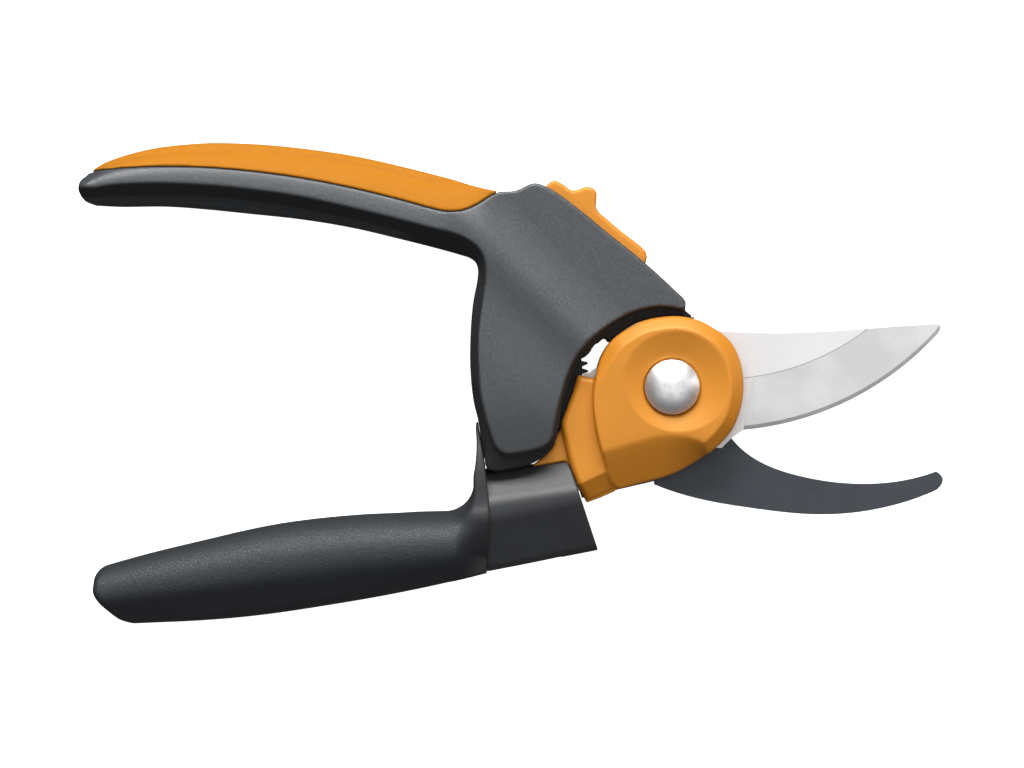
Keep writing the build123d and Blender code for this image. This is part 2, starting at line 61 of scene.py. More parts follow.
MM = 0.001
JOINTS = {joint["name"]: joint for joint in frame["record"]["behaviour"]["joints"]}
BLADE_PIVOT = np.array(JOINTS["blade_swing"]["pos_m"]) / MM
ROLL_FACE = np.array(JOINTS["handle_roll"]["pos_m"]) / MM
ROLL_AXIS = np.array(JOINTS["handle_roll"]["axis"])
LOCK_AXIS = np.array(JOINTS["lock_slide"]["axis"])
CUT_Z = BLADE_PIVOT[2]            # height of the cutting plane
LOCK_START = (-29.5, 47.4)        # rear end of the slider, on the lever's front edge
SCREWS = [(-3.6, -19.0), (-10.9, -21.0), (-23.4, -12.5)]  # the back cover's screw recesses
BLADE_EDGE = [(64.1, 12.8), (43.0, -3.1), (17.2, -10.3)]  # points of the blade's cutting edge
GROUND = 12.4                     # width of the blade's ground bevel
VIEW_WIDTH = 0.2458               # metres across the picture, at the cutting plane
VIEW_CENTRE = (-0.03816, 0.00072)
LENS_DISTANCE = 1.2               # metres from the camera to the cutting plane


# ---------------------------------------------------------------- curves and distances
def curve(points, closed=False, steps=8):
    """Points of a smooth curve through the given points (centripetal Catmull-Rom)."""
    p = np.array(points, float)
    if closed:
        p = np.vstack([p[-1], p, p[0], p[1]])
    else:
        p = np.vstack([2 * p[0] - p[1], p, 2 * p[-1] - p[-2]])
    out = []
    for a, b, c, d in zip(p[:-3], p[1:-2], p[2:-1], p[3:]):
        t1 = np.linalg.norm(b - a) ** 0.5
        t2 = t1 + np.linalg.norm(c - b) ** 0.5
        t3 = t2 + np.linalg.norm(d - c) ** 0.5
        for t in np.linspace(t1, t2, steps, endpoint=False):
            ab = a * (t1 - t) / t1 + b * t / t1
            bc = b * (t2 - t) / (t2 - t1) + c * (t - t1) / (t2 - t1)
            cd = c * (t3 - t) / (t3 - t2) + d * (t - t2) / (t3 - t2)
            abc = ab * (t2 - t) / t2 + bc * t / t2
            bcd = bc * (t3 - t) / (t3 - t1) + cd * (t - t1) / (t3 - t1)
            out.append(abc * (t2 - t) / (t2 - t1) + bcd * (t - t1) / (t2 - t1))
    if not closed:
        out.append(p[-2])
    return np.array(out)


def join(*runs):
    """One closed outline from runs of points that follow each other."""
    return np.vstack([np.array(run, float) for run in runs])


def polygon_distance(x, y, points):
    """Signed distance to a closed polygon, negative inside."""
    best = np.full(np.broadcast(x, y).shape, 1e9)
    inside = np.zeros(best.shape, bool)
    for (ax, ay), (bx, by) in zip(points, np.roll(points, -1, axis=0)):
        ex, ey = bx - ax, by - ay
        length = ex * ex + ey * ey
        if length < 1e-12:
            continue
        t = np.clip(((x - ax) * ex + (y - ay) * ey) / length, 0, 1)
        best = np.minimum(best, (x - ax - t * ex) ** 2 + (y - ay - t * ey) ** 2)
        if abs(ey) > 1e-12:
            crosses = (ay > y) != (by > y)
            inside ^= crosses & (x < ex * (y - ay) / ey + ax)
    best = np.sqrt(best)
    return np.where(inside, -best, best)


class Outline:
    """A closed outline's signed distance, kept on a fine grid and read back smoothly."""

    def __init__(self, points, margin=14.0, step=0.25):
        points = np.array(points, float)
        self.step = step
        self.low = points.min(axis=0) - margin
        count = np.ceil((points.max(axis=0) + margin - self.low) / step).astype(int) + 1
        xs = self.low[0] + step * np.arange(count[0])
        ys = self.low[1] + step * np.arange(count[1])
        self.grid = polygon_distance(xs[:, None], ys[None, :], points)

    def __call__(self, x, y):
        u = np.clip((x - self.low[0]) / self.step, 0, self.grid.shape[0] - 1.001)
        v = np.clip((y - self.low[1]) / self.step, 0, self.grid.shape[1] - 1.001)
        i, j = u.astype(int), v.astype(int)
        u, v = u - i, v - j
        g = self.grid
        return ((g[i, j] * (1 - u) + g[i + 1, j] * u) * (1 - v)
                + (g[i, j + 1] * (1 - u) + g[i + 1, j + 1] * u) * v)


def interval(x, points):
    """A height read off a smooth line through (x, value) pairs."""
    line = curve(points)
    return np.interp(x, line[:, 0], line[:, 1])


def both(a, b, radius=0.0):
    """Inside both fields, with the outer edge rounded to a radius."""
    u, v = np.maximum(radius + a, 0), np.maximum(radius + b, 0)
    return np.minimum(-radius, np.maximum(a, b)) + np.sqrt(u * u + v * v)


def either(a, b, radius=0.0):
    """Inside one field or the other, with the inner corner filled to a radius."""
    return -both(-a, -b, radius)


def smooth(low, high, value):
    """0 below low, 1 above high, and a smooth step between."""
    t = np.clip((value - low) / (high - low), 0, 1)
    return t * t * (3 - 2 * t)


# ---------------------------------------------------------------- meshes
def link(name, mesh, body):
    """A new object for a mesh, riding on a CAD body."""
    piece = bpy.data.objects.new(name, mesh)
    bpy.context.scene.collection.objects.link(piece)
    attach(piece, body)
    return piece


def surface_net(field, low, high, cell):
    """Points and quads of the closed surface where a field is zero, as surface nets.

    The box from low to high must hold the whole surface, or the mesh is left open.
    """
    axes = [np.arange(a, b + cell, cell) for a, b in zip(low, high)]
    x, y, z = axes[0][:, None, None], axes[1][None, :, None], axes[2][None, None, :]
    values = np.broadcast_to(field(x, y, z), [len(a) for a in axes]).astype(np.float32)
    values = np.where(np.abs(values) < 1e-5, 1e-5, values)
    corners = [(i, j, k) for i in (0, 1) for j in (0, 1) for k in (0, 1)]
    shape = [n - 1 for n in values.shape]

    def corner(i, j, k):
        return values[i:i + shape[0], j:j + shape[1], k:k + shape[2]]

    inside = sum((corner(*c) < 0).astype(np.int8) for c in corners)
    cells = np.argwhere((inside > 0) & (inside < 8))
    index = np.full(shape, -1, np.int64)
    index[tuple(cells.T)] = np.arange(len(cells))
    total, count = np.zeros((len(cells), 3)), np.zeros(len(cells))
    for a in corners:
        for axis in range(3):
            if a[axis]:
                continue
            b = tuple(1 if n == axis else a[n] for n in range(3))
            va = values[tuple((cells + a).T)].astype(float)
            vb = values[tuple((cells + b).T)].astype(float)
            cut = (va < 0) != (vb < 0)
            t = np.where(cut, va / np.where(cut, va - vb, 1), 0)
            point = cells + np.array(a, float)
            point[:, axis] += t
            total += np.where(cut[:, None], point, 0)
            count += cut
    points = np.array(low) + cell * total / count[:, None]
    quads = []
    for axis in range(3):
        u, v = (axis + 1) % 3, (axis + 2) % 3
        span = [slice(None)] * 3
        ahead = [slice(None)] * 3
        span[axis], ahead[axis] = slice(0, -1), slice(1, None)
        first, second = values[tuple(span)] < 0, values[tuple(ahead)] < 0
        for leaving in (True, False):
            edges = np.argwhere((first & ~second) if leaving else (~first & second))
            edges = edges[(edges[:, u] > 0) & (edges[:, v] > 0)]
            edges = edges[(edges[:, u] < shape[u]) & (edges[:, v] < shape[v])]
            ring = []
            for du, dv in ((-1, -1), (0, -1), (0, 0), (-1, 0)):
                near = edges.copy()
                near[:, u] += du
                near[:, v] += dv
                ring.append(index[tuple(near.T)])
            quad = np.stack(ring if leaving else ring[::-1], axis=1)
            quads.append(quad)
    return points, np.vstack(quads)


def settle(field, points, cell, rounds=4):
    """Moves points onto the field's exact surface along its gradient."""
    eps, least_slope, longest = 0.02, 0.04, 0.35 * cell
    for _ in range(rounds):
        x, y, z = points.T
        here = field(x, y, z)
        slope = np.stack([field(x + eps, y, z) - here, field(x, y + eps, z) - here,
                          field(x, y, z + eps) - here], axis=1) / eps
        size = np.maximum((slope ** 2).sum(axis=1), least_slope)
        move = -slope * (here / size)[:, None]
        length = np.linalg.norm(move, axis=1)
        move *= np.minimum(1, longest / np.maximum(length, 1e-9))[:, None]
        points = points + move
    return points


def moulded(name, body, field, low, high, cell=0.5, zones=None):
    """A closed mesh piece from a field whose z is counted from the cutting plane.

    zones names vertex values that its material reads, each a function of x, y, z.
    """
    points, quads = surface_net(field, low, high, cell)
    points = settle(field, points, cell)
    mesh = bpy.data.meshes.new(name)
    placed = (points + (0, 0, CUT_Z)) * MM
    mesh.from_pydata(placed.tolist(), [], quads.tolist())
    mesh.validate()
    for face in mesh.polygons:
        face.use_smooth = True
    for zone, value in (zones or {}).items():
        layer = mesh.attributes.new(zone, "FLOAT", "POINT")
        numbers = np.broadcast_to(value(*points.T), len(points)).astype(np.float32)
        layer.data.foreach_set("value", numbers)
    return link(name, mesh, body)


# ---------------------------------------------------------------- stage, light and camera
def make_floor():
    """A pale floor just under the tool, bright enough to read as a light table."""
    bpy.ops.mesh.primitive_plane_add(size=6.0, location=(0, 0, cad_low[2] - 0.0002))
    floor = bpy.context.object
    floor.name = "floor"
    floor.data.materials.append(floor_material())
    floor.visible_diffuse = False
    floor.visible_glossy = False


def make_light(name, place, size, watts, target):
    """A soft rectangular lamp that points at a target."""
    data = bpy.data.lights.new(name, "AREA")
    data.shape = "RECTANGLE"
    data.size, data.size_y = size
    data.energy = watts
    lamp = bpy.data.objects.new(name, data)
    bpy.context.scene.collection.objects.link(lamp)
    lamp.location = place
    lamp.rotation_euler = (target - lamp.location).to_track_quat("-Z", "Y").to_euler()


def make_studio():
    """Key light from the lever's side, weak fill from the camera's side, a dim surround."""
    target = (cad_low + cad_high) / 2
    make_light("key", (-0.08, 0.78, 0.50), (0.9, 0.4), 13.0, target)
    make_light("top", (0.0, 0.0, 1.45), (2.0, 2.4), 12.0, target)
    make_light("side", (0.75, 0.20, 0.35), (0.3, 0.5), 0.9, target)
    world = bpy.data.worlds.new("surround")
    world.use_nodes = True
    world.node_tree.nodes["Background"].inputs["Color"].default_value = (0.9, 0.94, 1.0, 1)
    world.node_tree.nodes["Background"].inputs["Strength"].default_value = 0.12
    bpy.context.scene.world = world
    bpy.context.scene.view_settings.view_transform = "Standard"


def make_camera():
    """A long lens looking straight down on the jaw's cutting plane."""
    data = bpy.data.cameras.new("camera")
    data.sensor_width = 36.0
    data.lens = data.sensor_width * LENS_DISTANCE / VIEW_WIDTH
    data.clip_start, data.clip_end = 0.1, 10.0
    camera = bpy.data.objects.new("camera", data)
    bpy.context.scene.collection.objects.link(camera)
    camera.location = (*VIEW_CENTRE, CUT_Z * MM + LENS_DISTANCE)
    bpy.context.scene.camera = camera


# ---------------------------------------------------------------- material building blocks
class Nodes:
    """Short names for building one material's node tree."""

    def __init__(self, name):
        self.material = bpy.data.materials.new(name)
        self.material.use_nodes = True
        self.tree = self.material.node_tree
        self.shader = self.tree.nodes["Principled BSDF"]
        self.place = self.add("ShaderNodeTexCoord").outputs["Object"]

    def add(self, kind, **settings):
        node = self.tree.nodes.new(kind)
        for name, value in settings.items():
            if hasattr(node, name):
                setattr(node, name, value)
            else:
                node.inputs[name.replace("_", " ")].default_value = value
        return node

    def link(self, source, target):
        self.tree.links.new(source, target)

    def noise(self, per_mm, detail=2.0, rough=0.5, stretch=None):
        """Noise with about so many features per millimetre, from 0 to 1."""
        node = self.add("ShaderNodeTexNoise", Scale=per_mm * 1000, Detail=detail, Roughness=rough)
        if stretch:
            scale = self.add("ShaderNodeVectorMath", operation="MULTIPLY")
            scale.inputs[1].default_value = stretch
            self.link(self.place, scale.inputs[0])
            self.link(scale.outputs[0], node.inputs["Vector"])
        else:
            self.link(self.place, node.inputs["Vector"])
        return node.outputs["Fac"]

    def cell_edges(self, per_mm):
        """Distance to the nearest edge between scattered cells, for pebbled skins."""
        node = self.add("ShaderNodeTexVoronoi", feature="DISTANCE_TO_EDGE")
        node.inputs["Scale"].default_value = per_mm * 1000
        self.link(self.place, node.inputs["Vector"])
        return node.outputs["Distance"]

    def remap(self, value, low, high, to_low, to_high, smooth_step=False):
        """A value read from one range into another, clamped."""
        node = self.add("ShaderNodeMapRange")
        node.interpolation_type = "SMOOTHSTEP" if smooth_step else "LINEAR"
        for name, number in (("From Min", low), ("From Max", high),
                             ("To Min", to_low), ("To Max", to_high)):
            node.inputs[name].default_value = number
        self.link(value, node.inputs["Value"])
        return node.outputs["Result"]

    def math(self, operation, a, b):
        node = self.add("ShaderNodeMath", operation=operation)
        for socket, value in zip(node.inputs, (a, b)):
            if isinstance(value, (int, float)):
                socket.default_value = value
            else:
                self.link(value, socket)
        return node.outputs[0]

    def mix(self, factor, a, b):
        """A colour between two colours; each may be a colour or a socket."""
        node = self.add("ShaderNodeMix", data_type="RGBA")
        self.link(factor, node.inputs["Factor"])
        for socket, value in ((node.inputs[6], a), (node.inputs[7], b)):
            if isinstance(value, tuple):
                socket.default_value = (*value, 1)
            else:
                self.link(value, socket)
        return node.outputs[2]

    def zone(self, name):
        """A value stored on the mesh."""
        return self.add("ShaderNodeAttribute", attribute_name=name).outputs["Fac"]

    def sloping(self, steep, level):
        """1 where the surface's upward share is below steep, 0 where it is above level."""
        split = self.add("ShaderNodeSeparateXYZ")
        self.link(self.add("ShaderNodeTexCoord").outputs["Normal"], split.inputs[0])
        return self.remap(split.outputs["Z"], steep, level, 1.0, 0.0)

    def distance(self, centre):
        """Distance in metres from a vertical axis, given in millimetres."""
        flat_place = self.add("ShaderNodeVectorMath", operation="MULTIPLY")
        flat_place.inputs[1].default_value = (1, 1, 0)
        self.link(self.place, flat_place.inputs[0])
        node = self.add("ShaderNodeVectorMath", operation="DISTANCE")
        node.inputs[1].default_value = (centre[0] * MM, centre[1] * MM, 0)
        self.link(flat_place.outputs[0], node.inputs[0])
        return node.outputs["Value"]

    def colour(self, value):
        socket = self.shader.inputs["Base Color"]
        if isinstance(value, tuple):
            socket.default_value = (*value, 1)
        else:
            self.link(value, socket)

    def roughness(self, value):
        self.link(value, self.shader.inputs["Roughness"])

    def bump(self, *layers):
        """Bumps from (height, depth in millimetres) pairs, one on top of another."""
        normal = None
        for height, depth in layers:
            node = self.add("ShaderNodeBump")
            node.inputs["Strength"].default_value = 1.0
            node.inputs["Distance"].default_value = depth * MM
            self.link(height, node.inputs["Height"])
            if normal:
                self.link(normal, node.inputs["Normal"])
            normal = node.outputs["Normal"]
        self.link(normal, self.shader.inputs["Normal"])

    def set(self, **values):
        for name, value in values.items():
            self.shader.inputs[name.replace("_", " ")].default_value = value


# ---------------------------------------------------------------- materials
def floor_material():
    """White board that also glows a little, so that shadows on it stay faint."""
    n = Nodes("floor")
    n.colour((0.9, 0.9, 0.9))
    n.roughness(n.remap(n.noise(0.02), 0.3, 0.7, 0.85, 0.95))
    n.set(Emission_Color=(1, 1, 1, 1), Emission_Strength=0.95, Specular_IOR_Level=0.0)
    return n.material


def orange_cover_material():
    """Moulded orange plastic with a fine satin grain."""
    n = Nodes("orange_cover")
    grain, drift = n.noise(3.2, 3.0, 0.6), n.noise(0.05)
    n.colour(n.mix(n.remap(drift, 0.3, 0.7, 0, 1), (0.63, 0.218, 0.012), (0.67, 0.236, 0.015)))
    n.roughness(n.remap(grain, 0.3, 0.7, 0.40, 0.54))
    n.bump((grain, 0.012))
    n.set(Specular_IOR_Level=0.95, Specular_Tint=(1.0, 0.95, 0.50, 1), Subsurface_Weight=0.2,
          Subsurface_Scale=0.0022, Subsurface_Radius=(1.0, 0.28, 0.06))
    return n.material


def orange_pad_material():
    """Soft orange overmould, matte, with a very fine mottle."""
    n = Nodes("orange_pad")
    grain, blotch = n.noise(2.4, 4.0, 0.65), n.noise(0.35, 3.0)
    base = n.mix(n.remap(blotch, 0.3, 0.7, 0, 1), (0.45, 0.160, 0.004), (0.49, 0.178, 0.006))
    n.colour(n.mix(n.remap(grain, 0.35, 0.65, 0, 1), base, (0.47, 0.168, 0.005)))
    n.roughness(n.remap(grain, 0.3, 0.7, 0.62, 0.78))
    n.bump((grain, 0.018))
    n.set(Specular_IOR_Level=0.2, Sheen_Weight=0.04, Sheen_Roughness=0.5)
    return n.material


def lever_material():
    """Glass-filled grey nylon: spark-eroded grain on the faces, smoother dark sides whose
    near-black colour is partly painted shade, and painted shade darkening the face towards its
    foot.
    """
    n = Nodes("lever_plastic")
    fine, speck, patch = n.noise(3.4, 3.0, 0.7), n.noise(1.7, 2.0, 0.6), n.noise(0.11, 2.0)
    # side zone: 1 on the sides, whose near-black is partly a darker real surface and partly
    # painted shade; up to 0.42 on the face towards the foot, which is painted shade
    side = n.zone("side")
    face = n.mix(n.remap(speck, 0.38, 0.68, 0, 1), (0.041, 0.046, 0.051), (0.063, 0.069, 0.075))
    face = n.mix(n.remap(patch, 0.35, 0.7, 0, 0.35), face, (0.054, 0.059, 0.065))
    # near-black on the sides and darker towards the foot: partly painted shade
    n.colour(n.mix(side, face, (0.004, 0.004, 0.004)))
    rough = n.remap(speck, 0.3, 0.7, 0.36, 0.52)
    n.roughness(n.math("ADD", rough, n.math("MULTIPLY", side, 0.45)))
    n.bump((fine, 0.022), (speck, 0.030))
    n.set(Specular_IOR_Level=0.7)
    return n.material


def grip_material():
    """Soft black grip skin with a leather-like pebble."""
    n = Nodes("soft_grip")
    pebble, vein, fine = n.cell_edges(1.5), n.noise(1.3, 4.0, 0.65), n.noise(2.6)
    crack = n.remap(pebble, 0.0, 0.20, 0.0, 1.0, True)
    grain = n.zone("grain")
    skin = n.mix(crack, (0.017, 0.020, 0.023), (0.023, 0.027, 0.031))
    n.colour(n.mix(grain, (0.019, 0.020, 0.022), skin))
    n.roughness(n.remap(n.math("MULTIPLY", vein, crack), 0.1, 0.6, 0.62, 0.48))
    n.bump((n.math("MULTIPLY", vein, grain), 0.12), (n.math("MULTIPLY", crack, grain), 0.022),
           (fine, 0.010))
    n.set(Specular_IOR_Level=0.6)
    return n.material


def core_material():
    """Plain satin grey-black plastic of the rolling handle's core."""
    n = Nodes("handle_core")
    fine, wide = n.noise(3.0, 3.0, 0.6), n.noise(0.08)
    n.colour(n.mix(n.remap(wide, 0.3, 0.7, 0, 1), (0.018, 0.019, 0.021), (0.025, 0.027, 0.029)))
    n.roughness(n.remap(fine, 0.3, 0.7, 0.48, 0.58))
    n.bump((fine, 0.010))
    n.set(Specular_IOR_Level=0.9)
    return n.material


def coated_steel_material():
    """Dark low-friction coating on the hook plate."""
    n = Nodes("coated_steel")
    fine, cloud = n.noise(4.0, 3.0, 0.65), n.noise(0.12, 3.0)
    base = n.mix(n.remap(cloud, 0.3, 0.7, 0, 1), (0.044, 0.050, 0.059), (0.054, 0.061, 0.070))
    n.colour(base)
    n.roughness(n.remap(fine, 0.3, 0.7, 0.46, 0.58))
    n.bump((fine, 0.010))
    n.set(Metallic=0.35)
    return n.material


def circle_through(a, b, c):
    """Centre and radius of the circle through three points."""
    (ax, ay), (bx, by), (cx, cy) = a, b, c
    matrix = 2 * np.array([[bx - ax, by - ay], [cx - ax, cy - ay]])
    centre = np.linalg.solve(matrix, [bx * bx + by * by - ax * ax - ay * ay,
                                      cx * cx + cy * cy - ax * ax - ay * ay])
    return centre, np.hypot(ax - centre[0], ay - centre[1])


def blade_material():
    """Ground steel: fine grinding lines on the bevel, a duller rolled face behind it; the bevel's
    brighter colour is partly a real ground finish and partly painted highlight, and a painted
    shade line runs along its inner edge.
    """
    n = Nodes("blade_steel")
    lines = n.noise(2.2, 4.0, 0.7, (0.12, 1.0, 1.0))
    cross = n.noise(3.0, 3.0, 0.7, (1.0, 0.16, 1.0))
    grain, cloud, patch = n.noise(3.8, 3.0, 0.6), n.noise(0.06, 2.0), n.noise(0.075, 1.0)
    base = n.mix(n.remap(cloud, 0.3, 0.7, 0, 1), (0.78, 0.77, 0.77), (0.83, 0.82, 0.82))
    # the sloping bevel is coloured brighter than the face: partly a real ground finish, partly
    # painted highlight
    ground_with_painted_highlight = n.mix(n.remap(grain, 0.35, 0.65, 0, 1), (1.0, 1.0, 1.0), (0.86, 0.86, 0.86))
    ground_with_painted_highlight = n.mix(n.remap(patch, 0.40, 0.62, 0, 0.8), ground_with_painted_highlight, (0.80, 0.79, 0.80))
    centre, radius = circle_through(*BLADE_EDGE)
    away = n.math("ABSOLUTE", n.math("SUBTRACT", n.distance(centre), (radius - GROUND) * MM), 0)
    # a painted shade line along the bevel's inner edge, where it meets the face
    ridge = n.remap(away, 0.04 * MM, 0.16 * MM, 1.0, 0.0)
    n.colour(n.mix(ridge, n.mix(n.sloping(0.990, 0.998), base, ground_with_painted_highlight), (0.42, 0.42, 0.43)))
    rough = n.remap(n.math("ADD", lines, cross), 0.7, 1.3, 0.46, 0.60)
    n.roughness(n.math("ADD", rough, n.math("MULTIPLY", n.sloping(0.85, 0.95), 0.30)))
    n.bump((lines, 0.010), (cross, 0.006), (grain, 0.008))
    n.set(Metallic=0.80)
    return n.material


def bright_metal_material():
    """Polished plated steel with faint tumbling marks."""
    n = Nodes("bright_metal")
    mark, haze = n.noise(0.45, 5.0, 0.7), n.noise(2.5, 2.0)
    n.colour(n.mix(n.remap(mark, 0.45, 0.62, 0, 1), (0.95, 0.95, 0.95), (0.74, 0.75, 0.76)))
    n.roughness(n.remap(mark, 0.3, 0.7, 0.36, 0.52))
    n.bump((mark, 0.03), (haze, 0.006))
    n.set(Metallic=1.0)
    return n.material


def plain_steel_material():
    """Zinc-plated steel of pins and screws."""
    n = Nodes("plain_steel")
    grain = n.noise(1.6, 4.0, 0.6)
    n.colour(n.mix(n.remap(grain, 0.3, 0.7, 0, 1), (0.46, 0.46, 0.45), (0.58, 0.57, 0.55)))
    n.roughness(n.remap(grain, 0.3, 0.7, 0.30, 0.45))
    n.bump((grain, 0.008))
    n.set(Metallic=1.0)
    return n.material


def black_steel_material():
    """Blackened steel of the gear plate and the washer."""
    n = Nodes("black_steel")
    grain = n.noise(2.2, 3.0, 0.6)
    n.colour(n.mix(n.remap(grain, 0.3, 0.7, 0, 1), (0.012, 0.012, 0.013), (0.018, 0.018, 0.019)))
    n.roughness(n.remap(grain, 0.3, 0.7, 0.38, 0.52))
    n.bump((grain, 0.008))
    n.set(Metallic=0.6)
    return n.material


def bearing_plastic_material():
    """Natural nylon of the bushes."""
    n = Nodes("bearing_plastic")
    grain = n.noise(1.2, 3.0, 0.6)
    n.colour(n.mix(n.remap(grain, 0.3, 0.7, 0, 1), (0.52, 0.50, 0.45), (0.60, 0.58, 0.52)))
    n.roughness(n.remap(grain, 0.3, 0.7, 0.45, 0.6))
    n.bump((grain, 0.01))
    return n.material


MATERIALS = {
    "orange_cover": orange_cover_material(), "orange_pad": orange_pad_material(),
    "lever_plastic": lever_material(), "soft_grip": grip_material(),
    "handle_core": core_material(), "coated_steel": coated_steel_material(),
    "blade_steel": blade_material(), "bright_metal": bright_metal_material(),
    "plain_steel": plain_steel_material(), "black_steel": black_steel_material(),
    "bearing_plastic": bearing_plastic_material()}


def finish_piece(piece, slot, *nodes):
    """Gives a new piece the material named by a record slot, and hides the CAD nodes it stands
    for.
    """
    piece.data.materials.clear()
    piece.data.materials.append(MATERIALS[slot])
    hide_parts(*nodes)


def paint_cad_nodes():
    """Gives every CAD node the material of its slot in the record."""
    for part in frame["record"]["subparts"]:
        node = frame["nodes"][part["node"]]
        for index in range(max(1, len(node.material_slots))):
            if not node.material_slots:
                node.data.materials.append(MATERIALS[part["material_slot"]])
            node.material_slots[index].link = "OBJECT"
            node.material_slots[index].material = MATERIALS[part["material_slot"]]


# ---------------------------------------------------------------- outlines
# all outlines are (x, y) points in millimetres, in the CAD frame, seen from above
PAD_SEAM = [(-139.2, 51.2), (-137, 51.6), (-125, 52.4), (-113, 52.3), (-101, 51.4), (-89, 49.8),
            (-77, 47.5), (-65, 44.6), (-57.8, 42.6), (-54.2, 41.8), (-51.8, 41.75), (-49.4, 42.2),
            (-47, 43.2), (-43.4, 45.4), (-41.0, 46.7)]
GRIP_END = [(-138.2, 43.6), (-140.3, 44.5), (-141.5, 46.6), (-141.2, 49.0), (-139.7, 50.9)]
GRIP_TOP = [(-139.7, 50.9), (-137.6, 52.5), (-134.6, 54.1), (-125, 56.9),
            (-113, 58.3), (-105.8, 58.4), (-93.8, 57.7), (-77, 55.5), (-65, 52.9), (-53, 49.8),
            (-45.8, 47.6), (-41, 46.6)]
HUMP = [(-41, 46.6), (-37.4, 46.8), (-33.8, 48.4), (-32.6, 48.6), (-31.2, 48.3), (-28.4, 46.9),
        (-21.8, 42.1), (-17, 38.1), (-7.4, 30.4), (-2.6, 26.2), (1.2, 22.6)]
NOSE = [(1.2, 22.6), (2.7, 21.2), (3.2, 20.4), (3.2, 18.3)]
NOSE_WEB = [(3.2, 18.3), (5.8, 16.4)]
ARC_BY_HEAD = [(5.8, 16.4), (3.05, 15.2), (-1.0, 15.4), (-4.2, 15.0), (-8.0, 13.8),
               (-11.6, 12.0), (-13.6, 10.6), (-14.9, 10.6), (-16.0, 11.6), (-18.2, 9.8),
               (-19.8, 7.9), (-21.9, 6.4), (-23.4, 3.8), (-24.9, 0.0), (-26.2, -3.8),
               (-26.8, -7.9), (-27.5, -12.0), (-28.3, -14.3), (-29.8, -15.8), (-31.4, -17.2)]
FOOT = [(-31.4, -17.2), (-33.8, -18.5), (-38.6, -19.7), (-42.2, -20.1), (-44.4, -19.3),
        (-45.1, -15.1), (-46.3, -7.9), (-47.4, -3.1), (-48.1, 4.1), (-48.1, 11.3), (-47.5, 19.7),
        (-46.4, 25.7), (-46.3, 28.1), (-47.0, 30.1), (-48.4, 31.2)]
BELLY = [(-48.4, 31.2), (-53, 32.5), (-65, 35.55), (-77, 38.35), (-89, 40.3), (-101, 41.6),
         (-113, 42.8), (-121.4, 43.35), (-132.2, 43.3), (-138.2, 43.6)]
FACE_EDGE = [(3.0, 18.7), (-0.2, 19.3), (-2.6, 19.5), (-5, 19.3), (-9.8, 18), (-14.6, 15.4),
             (-19.4, 11.8), (-21.8, 9.1), (-23.8, 6), (-25.4, 2.4), (-26.6, -1.7), (-27.6, -5.5),
             (-28.3, -9.1), (-28.9, -12.0), (-29.9, -13.4), (-31.4, -14.3), (-37.4, -15.6),
             (-39.4, -15.7), (-41.0, -15.1), (-41.9, -14.0), (-43.7, -9.1), (-45.4, -1.9),
             (-46, 5.3), (-46, 12.5), (-45.1, 19.7), (-44.3, 26.0), (-44.4, 29.3), (-45.2, 31.9),
             (-47.0, 34.1), (-50.6, 36.3), (-57.8, 38.2), (-65, 40.1), (-77, 43.0), (-89, 45.6),
             (-101, 47.3), (-113, 48.4), (-125, 48.7), (-134, 48.2), (-137.6, 47.6)]
RAIL_EDGE = [(-150, 45.2), (-137.5, 45.4), (-122.6, 45.8), (-113, 45.6), (-103.4, 44.8),
             (-89, 42.7), (-77, 40.3), (-65, 37.4), (-57.8, 35.3), (-40, 30)]
LEVER_SLOT = [(-52.0, -17.4), (-43.6, -17.0), (-44.6, -4.0), (-45.6, 4.0), (-43.6, 10.4),
              (-38.4, 11.6), (-27.0, 10.6), (-21.0, 12.6), (-16.2, 9.0), (-8.0, 10.0),
              (-8.0, -40.0), (-52.0, -40.0)]
# the lock slider, along and out of the lever's front edge
SLIDER = [(-0.8, -0.4), (-0.75, 1.1), (-0.4, 2.2), (0.3, 2.75), (1.8, 3.05), (3.7, 3.1),
          (5.0, 3.4), (5.8, 4.5), (6.4, 5.6), (7.2, 6.4), (8.4, 6.85), (9.6, 6.6), (10.6, 5.3),
          (11.5, 3.8), (13.0, 3.15), (19.8, 2.95), (25.8, 3.05), (27.5, 2.8), (28.7, 1.9),
          (29.4, 0.4), (29.4, -2.4), (-0.8, -2.4)]
HEAD = [(-14.2, 11.3), (-16.7, 7.7), (-18.0, 3.6), (-18.8, -1.9), (-18.7, -5.5), (-18.0, -10.3),
        (-17.0, -14.6), (-15.9, -18.6), (-14.9, -22.0), (-13.0, -24.2), (-10.4, -23.8),
        (-7.4, -23.0), (-1.4, -21.4), (2.2, -19.9), (7.0, -17.0), (10.6, -14.4), (14.2, -10.3),
        (16.1, -6.0), (17.0, -1.2), (16.8, 3.6), (15.4, 8.4), (13.0, 11.8), (9.4, 14.4),
        (5.8, 16.1), (1.4, 16.9), (-3.8, 16.5), (-7.4, 15.6), (-11.0, 13.7)]
NECK = [(-22.5, 2.9), (-23.5, -0.8), (-25.1, -5.2), (-26.3, -8.9), (-25.7, -12.5),
        (-24.6, -17.4), (-23.4, -21.0), (-22.3, -23.8), (-20.3, -27.7)]
GRIP_REAR = [(-129.1, -57.1), (-132.2, -55.7), (-134.6, -53.8), (-137, -51.4), (-138.2, -49.2),
             (-138.2, -47.5), (-138, -45.6), (-137.5, -44.4), (-136.8, -43.4), (-135.8, -42.6),
             (-134.6, -42.1)]
